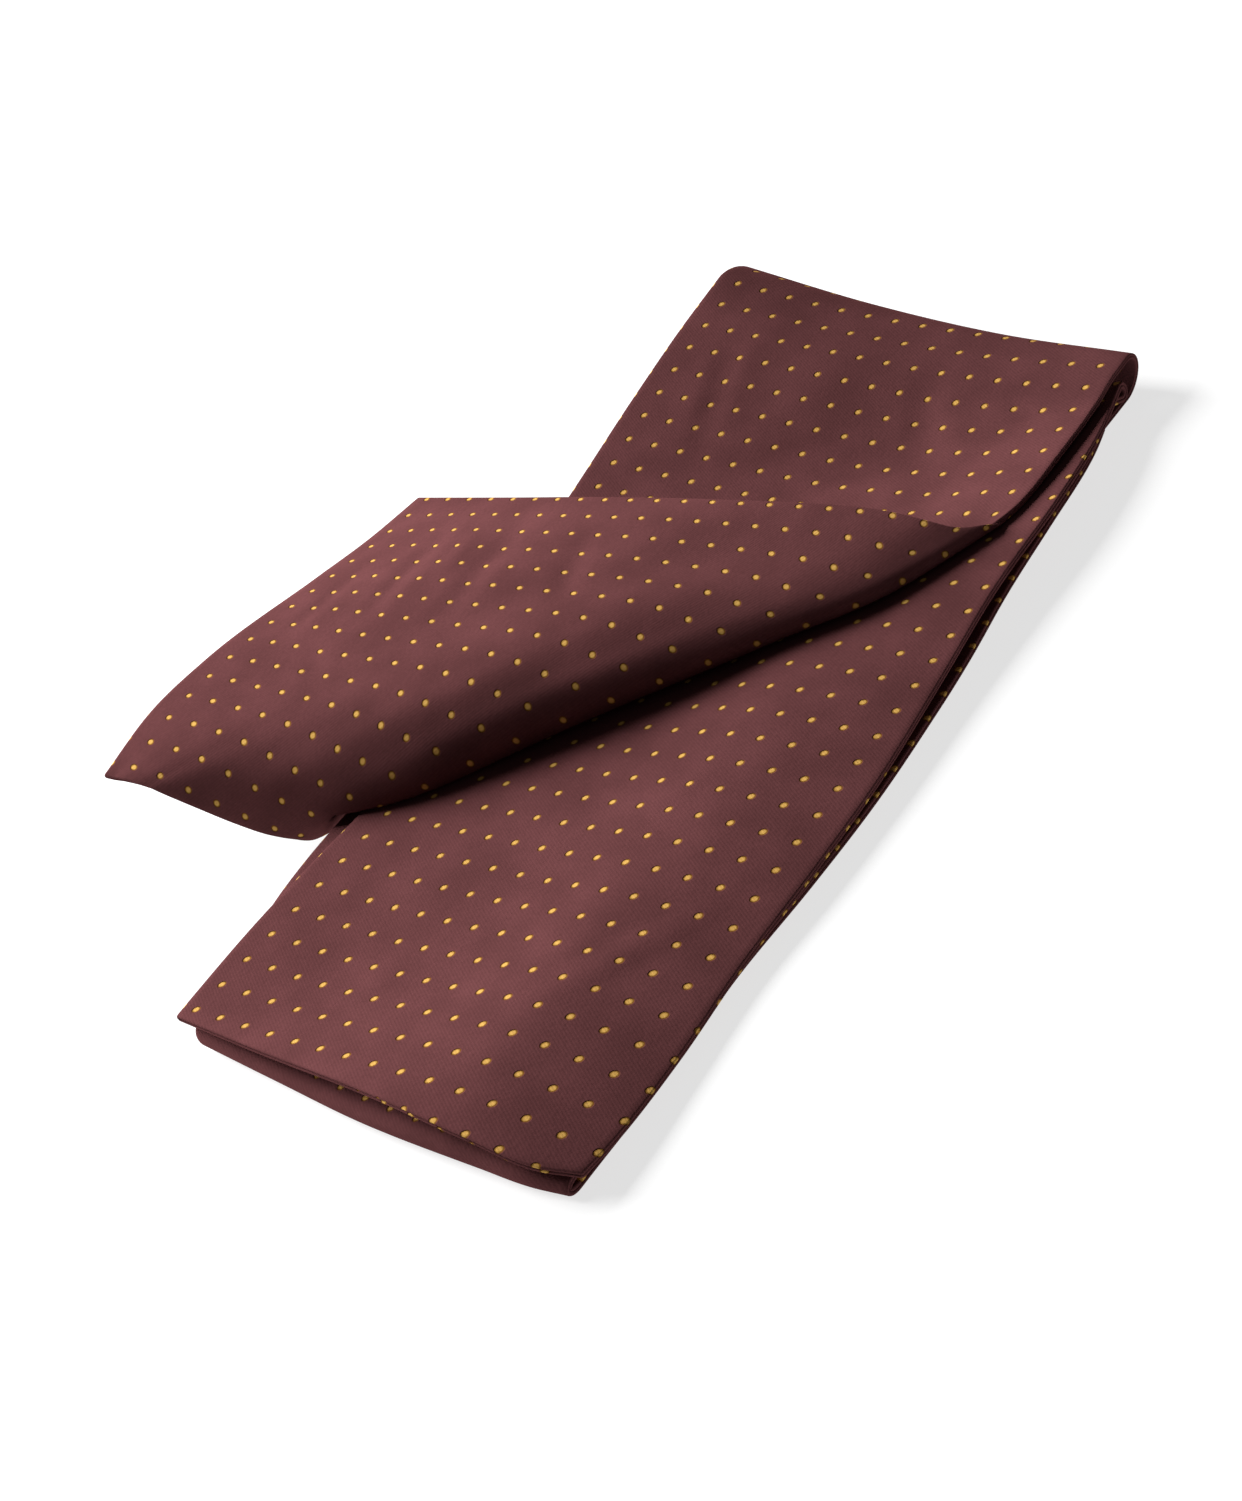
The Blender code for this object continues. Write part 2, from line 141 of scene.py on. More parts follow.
# Lines across the strip, from the blade's sewn end to the far loop: their ends in plan,
# their heights at six places, how far the left and right middle bow towards the near
# right, and the rows (s) and columns (u) of dots at their two ends.
Chord = namedtuple(
    "Chord",
    "left_x left_y right_x right_y left sixth third two_thirds five_sixths right"
    " bow_left bow_right left_s right_s left_u right_u",
)
BLADE_ROWS = (
    Chord(-110, -70.9, -110.2, 35, 22, 24.8, 24.8, 20.6, 18.4, 17.6, -0.9, -0.6, -0.95, -0.5, -0.45, 15.1),
    Chord(-107.8, -70.6, -81.7, 36.2, 21.6, 24.4, 24.1, 21.7, 20, 18.4, 0.2, 0, -0.5, 3.55, -0.45, 15.1),
    Chord(-104.2, -70.2, -50, 37.5, 21.3, 23.8, 23.3, 22.1, 20.8, 19.4, 1.6, 0.9, -0.05, 8.05, -0.45, 15.15),
    Chord(-99.2, -69.6, -17.5, 40, 20.2, 22.6, 22.6, 21, 20, 18.8, 3, 1.6, 0.65, 12.55, -0.45, 15.15),
    Chord(-92.8, -68.4, 13.7, 43.7, 17.2, 19.9, 21.3, 19.6, 17, 16.1, 5.4, 3.7, 1.65, 17.05, -0.42, 15.15),
    Chord(-87.2, -66.9, 21, 44, 13.6, 17.7, 20.2, 18.5, 16.2, 15, 7.2, 4.6, 2.65, 18.05, -0.4, 15.1),
    Chord(-81.2, -65.2, 28, 44, 9.6, 15.2, 18, 16.6, 15, 13.6, 7.9, 5.6, 3.75, 19.05, -0.35, 15.1),
    Chord(-75.2, -63.4, 34, 45.4, 6.2, 12.1, 15.2, 14.3, 13.1, 11.4, 8.7, 7.1, 4.8, 20.05, -0.3, 15.1),
    Chord(-70.6, -61.6, 38, 49.3, 4.3, 9, 11.3, 11, 10.7, 10, 8.7, 8.5, 5.75, 21.05, -0.25, 15.1),
    Chord(-68.4, -60.4, 39.2, 52, 3.4, 7.1, 8.7, 8.8, 8.8, 9.3, 7.5, 7.3, 6.25, 21.6, -0.25, 15.1),
    Chord(-67.2, -59, 39.9, 54.8, 2.8, 6.2, 7.7, 7.7, 7.9, 9.2, 6.2, 5.8, 6.8, 22.15, -0.25, 15.1),
    Chord(-66.4, -50, 40.7, 61, 2.8, 5.6, 7.6, 7.6, 7.2, 9, 2.5, 2, 8, 23.2, -0.3, 15),
    Chord(-65.9, -34, 41, 66, 3.8, 6.6, 7.8, 7.4, 6.6, 9, 0, 0, 10, 23.9, 0, 15),
)
FLAP_ROWS = (
    Chord(-66.4, -14, 41.1, 71, 6.2, 7.6, 8.4, 7.2, 6.4, 9, 0, 0, 12.7, 24.6, -0.4, 14.8),
    Chord(-67.6, 15, 40.9, 78, 10.2, 9.4, 8.4, 6.8, 6.6, 8.9, 0, 0, 16.8, 25.6, -0.6, 14.7),
    Chord(-68.5, 44, 40.6, 85, 15, 12.9, 10.6, 6.8, 7.2, 8.7, 0, 0, 20.8, 26.5, -0.7, 14.6),
    Chord(-68.2, 72, 39.9, 93, 21.2, 18.2, 15, 9.2, 8.4, 8.7, 0, 0, 24.7, 27.6, -0.75, 14.6),
    Chord(-67.4, 94, 39.4, 101, 26, 22.5, 18.9, 12.4, 10.6, 9.6, 0, 0, 27.8, 28.7, -0.75, 14.6),
)
ROW_PLACES = (0.0, 1 / 6, 1 / 3, 2 / 3, 5 / 6, 1.0)
LoopColumn = namedtuple("LoopColumn", "x centre_y top")
LOOP_COLUMNS = (
    LoopColumn(-66.4, 113.2, 29.6),
    LoopColumn(-31.0, 113.2, 19.6),
    LoopColumn(5.0, 111.2, 13.1),
    LoopColumn(39.6, 108.4, 10.2),
)
LOOP_LEAN = 2.5                 # how far the loop's right end runs in under itself
LOOP_STEPS = 33

# Where the dots lie: u counts columns of dots round a tube, v counts rows along it.
FLAP_S = 30.3                   # strip length at the flap's first row of dots
FLAP_FIRST_Y = 112.2
FLAP_EDGES = (-0.75, 14.6)      # columns of dots at the flap's long edges
BLADE_FACES_U = 29.0            # sum of the columns over one place on the blade's plies
BAND_COLUMN_X = -47.4           # the band's first column and row of dots
BAND_ROW_Y = -110.2
LOWER_EDGES = (0.3, 14.0)       # columns at the lower stretches' long edges
LOWER_FACES_U = 28.2
LOWER_FOLD_V = 40.5             # row at the front of the near fold
RIGHT_EDGE_U = 0.25             # columns of cloth round a folded edge
LEFT_EDGE_U = 0.3
CLOSING_U = 0.03


# Curves and grids.


def read_curve(stations, values, at):
    """Smooth curve through values at rising stations, read at the places at."""
    stations = np.asarray(stations, dtype=float)
    values = np.asarray(values, dtype=float)
    slopes = np.gradient(values, stations, axis=0)
    at = np.clip(np.asarray(at, dtype=float), stations[0], stations[-1])
    index = np.clip(np.searchsorted(stations, at, side="right") - 1, 0, len(stations) - 2)
    span = stations[index + 1] - stations[index]
    u = (at - stations[index]) / span
    shape = at.shape + (1,) * (values.ndim - 1)
    u = u.reshape(shape)
    span = span.reshape(shape)
    start = values[index]
    end = values[index + 1]
    return (
        start * (1 + 2 * u) * (1 - u) ** 2
        + end * u ** 2 * (3 - 2 * u)
        + slopes[index] * span * u * (1 - u) ** 2
        + slopes[index + 1] * span * u ** 2 * (u - 1)
    )


def table(rows, *names):
    return np.array([[getattr(row, name) for name in names] for row in rows])


def column(rows, name):
    return [getattr(row, name) for row in rows]


def soft_max(a, b, reach):
    return 0.5 * (a + b + np.sqrt((a - b) ** 2 + reach ** 2))


def bump(t):
    """Smooth hill from 1 at zero to 0 at one, and 0 past that."""
    return np.clip(1.0 - t * t, 0.0, 1.0) ** 2


def creased(x, y, z, creases):
    """Heights with every crease pressed in, deepest at its middle and fading to its ends."""
    for crease in creases:
        run_x = crease.end_x - crease.start_x
        run_y = crease.end_y - crease.start_y
        length = math.hypot(run_x, run_y)
        from_x = x - crease.start_x
        from_y = y - crease.start_y
        along = (from_x * run_x + from_y * run_y) / length ** 2
        aside = (from_x * run_y - from_y * run_x) / length
        z = z - crease.depth * bump(2.0 * along - 1.0) * bump(aside / crease.width)
    return z


def band_edges(y):
    stations = column(BAND_ROWS, "y")
    left = read_curve(stations, column(BAND_ROWS, "left_x"), y)
    right = read_curve(stations, column(BAND_ROWS, "right_x"), y)
    return left, right


def band_top(y, across):
    """Top face of the band at places y and fractions across, arrays of one shape."""
    stations = column(BAND_ROWS, "y")
    rows = read_curve(stations, table(BAND_ROWS, *BandRow._fields[3:]), y)
    places = np.array(BAND_PLACES)
    slopes = np.gradient(rows, places, axis=-1)
    place = np.clip(across, 0.0, 1.0)
    index = np.clip(np.searchsorted(places, place, side="right") - 1, 0, len(places) - 2)
    span = places[index + 1] - places[index]
    u = (place - places[index]) / span
    picked = np.take_along_axis(rows, index[..., None], -1)[..., 0]
    after = np.take_along_axis(rows, index[..., None] + 1, -1)[..., 0]
    rise = np.take_along_axis(slopes, index[..., None], -1)[..., 0] * span
    rise_after = np.take_along_axis(slopes, index[..., None] + 1, -1)[..., 0] * span
    return (
        picked * (1 + 2 * u) * (1 - u) ** 2
        + after * u ** 2 * (3 - 2 * u)
        + rise * u * (1 - u) ** 2
        + rise_after * u ** 2 * (u - 1)
    )


def near_end_back(name, across, y):
    """How far points near the front end lie back, so that its line is uneven."""
    back = read_curve(column(NEAR_END, "across"), column(NEAR_END, name), across)
    inside = np.clip((BAND_ROWS[0].y + NEAR_END_REACH - y) / NEAR_END_REACH, 0.0, 1.0)
    return back * inside ** 2


def rest_height(x, y):
    """Lowest middle of a wall that lies on the band, or hangs over its edge."""
    left, right = band_edges(y)
    across = np.clip((x - left) / (right - left), 0.0, 1.0)
    outside = np.maximum(np.maximum(left - DROOP_START - x, x - right - DROOP_START), 0.0)
    rest = band_top(y, across) + REST_GAP + 0.5 * CAD_WALL - DROOP_SLOPE * outside
    return np.maximum(rest, 0.5 * CAD_WALL + LOWEST_REST)


def grid_normals(grid):
    normals = np.cross(np.gradient(grid, axis=1), np.gradient(grid, axis=0))
    return normals / np.linalg.norm(normals, axis=2, keepdims=True)


# Meshes.


def edge_profile():
    """Steps round a folded edge: height from 1 down to -1, and how far it stands out."""
    heights = [0.92, 0.75, 0.5, 0.25, 0.08]
    outs = [LIP * math.sqrt(1.0 - (2.0 * h - 1.0) ** 2) for h in heights]
    down = [-h for h in reversed(heights)]
    return heights + [0.0] + down, outs + [-SLIT] + outs[::-1]


def tube(middle, over, under, u_over, u_under, v):
    """Points, u and v of the rings of a flattened tube round a grid of points.

    over and under are how far its plies lie from the grid along its normals, row by
    row; u_over and u_under count columns of dots along them, both from the left edge.
    """
    normals = grid_normals(middle)
    over = np.broadcast_to(over, middle.shape[:2])[..., None]
    under = np.broadcast_to(under, middle.shape[:2])[..., None]
    upper = middle + normals * over
    lower = middle - normals * under
    heights, outs = edge_profile()
    strips = [upper]
    us = [u_over]
    vs = [v]
    for side, inner in ((-1, -2), (0, 1)):
        away = middle[:, side] - middle[:, inner]
        away = away / np.linalg.norm(away, axis=1, keepdims=True)
        top, bottom, normal = over[:, side], under[:, side], normals[:, side]
        steps = list(zip(heights, outs))
        if side == 0:
            steps = steps[::-1]
        points = []
        for height, out in steps:
            level = 0.5 * (top - bottom) + 0.5 * (top + bottom) * height
            points.append(middle[:, side] + normal * level + away * out)
        points = np.stack(points, axis=1)
        share = np.linspace(0.0, 1.0, len(steps) + 2)[1:-1]
        if side == -1:
            start, end = u_over[:, -1:], u_under[:, -1:]
        else:
            start, end = u_under[:, :1], u_under[:, :1] + LEFT_EDGE_U
        strips.append(points)
        us.append(start + (end - start) * share)
        vs.append(np.repeat(v[:, side][:, None], len(steps), axis=1))
        if side == -1:
            strips.append(lower[:, ::-1])
            us.append(u_under[:, ::-1])
            vs.append(v[:, ::-1])
    points = np.concatenate(strips, axis=1)
    u = np.concatenate(us, axis=1)
    u = np.concatenate([u, u[:, -1:] + CLOSING_U], axis=1)
    v = np.concatenate(vs, axis=1)
    v = np.concatenate([v, v[:, :1]], axis=1)
    return points, u, v


# Rings of a sewn end: how open it still is, how far it stands out, and the cloth's
# own travel from the last row, in millimetres.
HemRing = namedtuple("HemRing", "open_share out travel")
HEM_RINGS = (
    HemRing(0.86, 0.3, 0.3),
    HemRing(0.5, 0.42, 0.6),
    HemRing(0.16, 0.28, 0.9),
    HemRing(0.06, 0.0, 1.2),
    HemRing(0.06, -HEM_TURN, 3.0),
)


def turned_end(points, u, v, columns):
    """Adds the turned and pressed first end of a tube: its plies meet and reach inside."""
    ring = points[0]
    size = ring.shape[0]
    steps = (size - 2 * columns) // 2
    upper = np.arange(columns)
    lower = np.arange(columns + steps, 2 * columns + steps)
    away = ring - points[1]
    away = away / np.linalg.norm(away, axis=1, keepdims=True)
    mate = np.zeros(size, dtype=int)
    mate[upper] = lower[::-1]
    mate[lower] = upper[::-1]
    right = np.arange(columns, columns + steps)
    left = np.arange(2 * columns + steps, size)
    mate[right] = right[::-1]
    mate[left] = left[::-1]
    centre = 0.5 * (ring + ring[mate])
    inward = np.zeros((size, 1))
    inward[right] = 1.0
    inward[left] = 1.0
    pull = ring[[columns - 1] * size] - ring
    pull[left] = ring[0] - ring[left]
    pull *= inward
    rings, us, vs = [], [], []
    for hem in reversed(HEM_RINGS):
        moved = centre + (ring - centre) * hem.open_share + away * hem.out
        rings.append(moved + pull * (1.0 - hem.open_share) * 0.5)
        us.append(u[0])
        vs.append(v[0] - hem.travel / PITCH)
    points = np.concatenate([np.array(rings), points])
    u = np.concatenate([np.array(us), u])
    v = np.concatenate([np.array(vs), v])
    return points, u, v


def add_cloth(name, points, u, v, material):
    """Mesh piece from rings of points, with u and v as its cloth coordinates."""
    rings, size = points.shape[:2]
    places = (points + np.array(SHIFT)).reshape(-1, 3) * MM
    index = np.arange(rings * size).reshape(rings, size)
    after = np.roll(index, -1, axis=1)
    faces = np.stack([index[:-1], index[1:], after[1:], after[:-1]], axis=-1).reshape(-1, 4)
    corner_u = np.stack([u[:-1, :-1], u[1:, :-1], u[1:, 1:], u[:-1, 1:]], axis=-1)
    corner_v = np.stack([v[:-1, :-1], v[1:, :-1], v[1:, 1:], v[:-1, 1:]], axis=-1)
    mesh = bpy.data.meshes.new(name)
    mesh.from_pydata(places.tolist(), [], faces.tolist())
    mesh.shade_smooth()
    layer = mesh.uv_layers.new(name="cloth")
    both = np.stack([corner_u, corner_v], axis=-1).reshape(-1)
    layer.data.foreach_set("uv", both.astype(np.float32))
    mesh.materials.append(material)
    piece = bpy.data.objects.new(name, mesh)
    bpy.context.scene.collection.objects.link(piece)
    return piece


# The four stretches.


def row_points(row, across):
    run_x = row.right_x - row.left_x
    run_y = row.right_y - row.left_y
    length = math.hypot(run_x, run_y)
    near, far = row.bow_left, row.bow_right
    bow = read_curve(ROW_PLACES, (0.0, near, near, far, far, 0.0), across)
    x = row.left_x + run_x * across + bow * run_y / length
    y = row.left_y + run_y * across - bow * run_x / length
    z = read_curve(ROW_PLACES, row[4:4 + len(ROW_PLACES)], across)
    return np.column_stack([x, y, z])


def evenly_spread(points, shares):
    """Points at the given shares of a line's own length, so that cloth isn't stretched."""
    steps = np.linalg.norm(np.diff(points, axis=0), axis=1)
    travel = np.concatenate([[0.0], np.cumsum(steps)])
    return np.column_stack([np.interp(shares * travel[-1], travel, axis) for axis in points.T])


def strip_surface():
    """Middle of the strip's wall from the blade to the far loop and the floor."""
    columns = int(STRIP_WIDTH / CELL) + 1
    across = np.linspace(0.0, 1.0, columns)
    rows = []
    lengths = []
    for row in BLADE_ROWS + FLAP_ROWS:
        rows.append(evenly_spread(row_points(row, np.linspace(0.0, 1.0, 4 * columns)), across))
        lengths.append(np.column_stack([
            row.left_s + (row.right_s - row.left_s) * across,
            row.left_u + (row.right_u - row.left_u) * across,
        ]))
    loop = loop_surface(across)
    rows.append(loop[0])
    lengths.append(np.column_stack([
        FLAP_S + (loop[0][:, 1] - FLAP_FIRST_Y) / PITCH,
        FLAP_EDGES[0] + (FLAP_EDGES[1] - FLAP_EDGES[0]) * across,
    ]))
    rows = np.array(rows)
    gaps = np.linalg.norm(np.diff(rows, axis=0), axis=2).mean(axis=1)
    stations = np.concatenate([[0.0], np.cumsum(gaps)])
    places, cut = [], 0
    for number, gap in enumerate(gaps):
        steps = max(4, int(gap / CELL))
        if number == len(BLADE_ROWS) - 1:
            cut = len(places)
        places += [stations[number] + gap * k / steps for k in range(steps)]
    places.append(stations[-1])
    grid = read_curve(stations, rows, places)
    counts = read_curve(stations, np.array(lengths), places)
    s, u = counts[..., 0], counts[..., 1]
    grid[..., 2] = creased(*np.moveaxis(grid, -1, 0), STRIP_CREASES)
    grid[..., 2] = soft_max(grid[..., 2], rest_height(grid[..., 0], grid[..., 1]), REST_BLEND)
    turns = np.array(loop[1:])
    tail_s = [s[-1]]
    last = grid[-1]
    for row in turns:
        tail_s.append(tail_s[-1] + np.linalg.norm(row - last, axis=1) / PITCH)
        last = row
    grid = np.concatenate([grid, turns])
    s = np.concatenate([s, np.array(tail_s[1:])])
    u = np.concatenate([u, np.repeat(u[-1:], len(turns), axis=0)])
    return grid, s, u, across, cut


def loop_surface(across):
    thirds = [0.0, 1 / 3, 2 / 3, 1.0]
    x, centre_y, top = read_curve(thirds, table(LOOP_COLUMNS, "x", "centre_y", "top"), across).T
    low = 0.5 * CAD_WALL
    radius = 0.5 * (top - low)
    rows = []
    for angle in np.linspace(0.0, math.pi, LOOP_STEPS):
        y = centre_y + radius * math.sin(angle)
        z = low + radius * (1.0 + math.cos(angle))
        lean = LOOP_LEAN * across ** 2 * 0.5 * (1.0 - math.cos(angle))
        rows.append(np.column_stack([x - lean, y, z]))
    for share in (0.33, 0.67, 1.0):
        y = centre_y + (FLOOR_CUT_Y - centre_y) * share
        rows.append(np.column_stack([x - LOOP_LEAN * across ** 2, y, np.full(len(x), low)]))
    return rows


def strip_pieces(material):
    """The blade and the flap, cut apart behind the roll."""
    grid, s, u_blade, across, cut = strip_surface()
    shown = 0.5 * CAD_WALL
    turned = (np.arange(len(grid)) - cut + 0.5 * TURN_ROWS) / TURN_ROWS
    turned = np.clip(turned, 0.0, 1.0)[:, None]
    over = HIDDEN_PLY + (shown - HIDDEN_PLY) * turned
    under = shown + (HIDDEN_PLY - shown) * turned
    u_flap = FLAP_EDGES[0] + (FLAP_EDGES[1] - FLAP_EDGES[0]) * across
    u_over = np.broadcast_to(u_flap, s.shape)
    points, u, v = tube(grid, over, under, u_over, BLADE_FACES_U - u_blade, s)
    # The two plies' rows of dots are out of step by a part of their spacing.
    columns = len(across)
    v[:, :columns] -= FLAP_S - round(FLAP_S)
    ends = slice(0, cut + 1)
    blade = turned_end(points[ends], u[ends], v[ends], columns)
    blade = add_cloth("blade_cloth", *blade, material)
    flap = add_cloth("flap_cloth", points[cut:], u[cut:], v[cut:], material)
    return blade, flap


def band_piece(material):
    """The band's top stretch, its fold at the far end and the start of the next one."""
    columns = int(BAND_WIDTH / CELL) + 1
    across = np.linspace(0.0, 1.0, columns)
    length = BAND_ROWS[-1].y - BAND_ROWS[0].y
    ys = np.linspace(BAND_ROWS[0].y, BAND_ROWS[-1].y, int(length / CELL) + 1)
    y, a = np.meshgrid(ys, across, indexing="ij")
    left, right = band_edges(y)
    x = left + (right - left) * a
    z = creased(x, y, band_top(y, a), BAND_CREASES) - 0.5 * STACK_WALL
    places = y + near_end_back("top_back", a, y)
    top = np.stack([x, places, z], axis=-1)
    rows = [top]
    for angle in np.linspace(0.0, math.pi, BAND_FOLD_STEPS + 1)[1:]:
        turned = top[-1].copy()
        turned[:, 1] += BAND_FOLD_RADIUS * math.sin(angle)
        turned[:, 2] -= BAND_FOLD_RADIUS * (1.0 - math.cos(angle))
        rows.append(turned[None])
    for place in np.linspace(BAND_ROWS[-1].y, TAIL_CUT_Y, 12)[1:]:
        rows.append(second_row(place, across)[None])
    middle = np.concatenate(rows)
    u = (middle[..., 0] - BAND_COLUMN_X) / PITCH
    travel = np.linalg.norm(np.diff(middle, axis=0), axis=2)
    start = (middle[0, :, 1] - BAND_ROW_Y) / PITCH
    travel = np.concatenate([np.zeros((1, columns)), np.cumsum(travel, axis=0)])
    v = start[None, :] + travel / PITCH
    u_under = 2 * u[:, -1:] + RIGHT_EDGE_U - u
    points, u, v = tube(middle, 0.5 * STACK_WALL, 0.5 * STACK_WALL, u, u_under, v)
    return add_cloth("top_stretch_cloth", *turned_end(points, u, v, columns), material)


def layer_values(y):
    rows = table(LAYER_ROWS, *LayerRow._fields[1:])
    return read_curve(column(LAYER_ROWS, "y"), rows, np.atleast_1d(float(y)))[0]


def second_row(y, across):
    """Middle of the second stretch at one place y of the band."""
    second_left, second_right, _, _, gap, arch = layer_values(y)
    left, right = (float(edge) for edge in band_edges(np.array(float(y))))
    x = left - second_left + (right + second_right - left + second_left) * across
    under = np.clip((x - left) / (right - left), 0.0, 1.0)
    top = band_top(np.full(len(across), float(y)), under)
    drop = STACK_WALL + gap + arch * np.sin(math.pi * across)
    z = np.maximum(top - drop - 0.5 * STACK_WALL, 1.5 * STACK_WALL + 0.15)
    return np.column_stack([x, y + near_end_back("fold_back", across, y), z])


def floor_row(y, across):
    _, _, floor_left, floor_right, _, _ = layer_values(y)
    left, right = (float(edge) for edge in band_edges(np.array(float(y))))
    x = left - floor_left + (right + floor_right - left + floor_left) * across
    places = y + near_end_back("fold_back", across, y)
    return np.column_stack([x, places, np.full(len(across), 0.5 * STACK_WALL + 0.05)])


def lower_piece(material):
    """The second stretch, the rounded fold under the sewn end and the floor stretch."""
    columns = int(STRIP_WIDTH / CELL) + 1
    across = np.linspace(0.0, 1.0, columns)
    turn_y = NEAR_FOLD_Y + NEAR_FOLD_DEPTH
    rows = [second_row(y, across) for y in np.arange(TAIL_CUT_Y, turn_y, -LAYER_CELL)]
    high = second_row(turn_y, across)
    low = floor_row(turn_y, across)
    for angle in np.linspace(0.0, math.pi, 21):
        share = 0.5 * (1.0 - math.cos(angle))
        row = high + (low - high) * share
        row[:, 1] -= NEAR_FOLD_DEPTH * math.sin(angle) ** NEAR_FOLD_FULLNESS
        rows.append(row)
    rows += [floor_row(y, across) for y in np.arange(turn_y + STACK_WALL, FLOOR_CUT_Y, LAYER_CELL)]
    rows.append(floor_row(FLOOR_CUT_Y, across))
    middle = np.array(rows)
    nose = int(np.argmin(middle[:, columns // 2, 1]))
    travel = np.linalg.norm(np.diff(middle, axis=0), axis=2)
    v = np.concatenate([np.zeros((1, columns)), np.cumsum(travel, axis=0)]) / PITCH
    v = v - v[nose][None, :] + LOWER_FOLD_V
    u = LOWER_EDGES[0] + (LOWER_EDGES[1] - LOWER_EDGES[0]) * across
    u = np.broadcast_to(u, v.shape)
    points, u, v = tube(middle, 0.5 * STACK_WALL, 0.5 * STACK_WALL, u, LOWER_FACES_U - u, v)
    return add_cloth("lower_stretches_cloth", points, u, v, material)


# Materials.

DOT_LENGTH = 0.150              # half sizes of a woven dot, in dot spacings
DOT_WIDTH = 0.128
DOT_TURN = 55.0                 # degrees from the strip's width
DOT_EDGE = 0.72                 # shares of a dot at which the dot and its painted highlight are full
DOT_HIGHLIGHT_EDGE = 0.82
DOT_HIGHLIGHT_FULL = 0.35
TWILL_U = 6.3                   # ribs in one dot spacing, round and along the tube
TWILL_V = 10.4
CLOUD_SCALE = 0.55              # patches of dye and fineness of threads, in dot spacings
THREAD_SCALE = 9.0
SILK_DARK = (0.087, 0.031, 0.032, 1.0)
SILK_LIGHT = (0.127, 0.045, 0.047, 1.0)
SILK_SHEEN = (0.80, 0.26, 0.26, 1.0)
SILK_ROUGHNESS = 0.42
# Dots: gold, brightened to a painted highlight at their middles, and darker at their edge.
DOT_GOLD_AND_HIGHLIGHT = (0.60, 0.35, 0.09, 1.0)
DOT_RIM = (0.12, 0.045, 0.005, 1.0)
RIB_HEIGHT = 0.008              # relief of ribs, threads and dots, in millimetres
THREAD_HEIGHT = 0.05
DOT_HEIGHT = 0.12


def silk():
    """Wine-red twill with golden dots, placed by the cloth's own coordinates."""
    material = bpy.data.materials.new("dotted_silk")
    material.use_nodes = True
    tree = material.node_tree
    shader = tree.nodes["Principled BSDF"]
    maker = NodeMaker(tree)
    uv = tree.nodes.new("ShaderNodeUVMap")
    uv.uv_map = "cloth"
    split = tree.nodes.new("ShaderNodeSeparateXYZ")
    tree.links.new(uv.outputs["UV"], split.inputs[0])
    u, v = split.outputs["X"], split.outputs["Y"]

    # Oval dots on the whole numbers of u and v, turned towards the twill.
    du = maker.math("SUBTRACT", maker.math("FRACT", maker.math("ADD", u, 0.5)), 0.5)
    dv = maker.math("SUBTRACT", maker.math("FRACT", maker.math("ADD", v, 0.5)), 0.5)
    cosine = math.cos(math.radians(DOT_TURN))
    sine = math.sin(math.radians(DOT_TURN))
    along = maker.math("ADD", maker.math("MULTIPLY", du, cosine), maker.math("MULTIPLY", dv, sine))
    aside = maker.math("SUBTRACT", maker.math("MULTIPLY", dv, cosine), maker.math("MULTIPLY", du, sine))
    reach = maker.math(
        "SQRT",
        maker.math(
            "ADD",
            maker.math("POWER", maker.math("DIVIDE", along, DOT_LENGTH), 2.0),
            maker.math("POWER", maker.math("DIVIDE", aside, DOT_WIDTH), 2.0),
        ),
    )
    dot = maker.ramp(reach, 1.0, DOT_EDGE)
    # Each dot's middle is a painted highlight, fading towards a darker rim.
    highlight_share = maker.ramp(reach, DOT_HIGHLIGHT_EDGE, DOT_HIGHLIGHT_FULL)

    # Fine slanting ribs of the twill, and cloudy unevenness of the dye.
    phase = maker.math("ADD", maker.math("MULTIPLY", u, TWILL_U), maker.math("MULTIPLY", v, TWILL_V))
    ribs = maker.math("SINE", maker.math("MULTIPLY", phase, 2.0 * math.pi))
    clouds = maker.noise(uv.outputs["UV"], CLOUD_SCALE, 3.0)
    threads = maker.noise(uv.outputs["UV"], THREAD_SCALE, 2.0)

    shade = maker.math("ADD", maker.math("MULTIPLY", clouds, 0.5), maker.math("MULTIPLY", threads, 0.25))
    shade = maker.math("ADD", shade, maker.math("MULTIPLY", ribs, 0.035))
    ground = maker.mix(maker.ramp(shade, 0.2, 0.6), SILK_DARK, SILK_LIGHT)
    # Dot colour, from the dark rim to the gold painted highlight at its middle.
    dot_colour_and_highlight = maker.mix(highlight_share, DOT_RIM, DOT_GOLD_AND_HIGHLIGHT)
    colour = maker.mix(dot, ground, dot_colour_and_highlight)
    tree.links.new(colour, shader.inputs["Base Color"])
    rough = maker.math("ADD", maker.math("MULTIPLY", threads, 0.16), SILK_ROUGHNESS)
    tree.links.new(rough, shader.inputs["Roughness"])

    height = maker.math("MULTIPLY", ribs, RIB_HEIGHT)
    height = maker.math("ADD", height, maker.math("MULTIPLY", threads, THREAD_HEIGHT))
    height = maker.math("ADD", height, maker.math("MULTIPLY", dot, DOT_HEIGHT))
    bumps = tree.nodes.new("ShaderNodeBump")
    bumps.inputs["Strength"].default_value = 0.9
    bumps.inputs["Distance"].default_value = MM
    tree.links.new(height, bumps.inputs["Height"])
    tree.links.new(bumps.outputs["Normal"], shader.inputs["Normal"])
    shader.inputs["Specular IOR Level"].default_value = 0.0
    shader.inputs["Sheen Weight"].default_value = 0.05
    shader.inputs["Sheen Tint"].default_value = SILK_SHEEN
    shader.inputs["Sheen Roughness"].default_value = 0.4
    return material


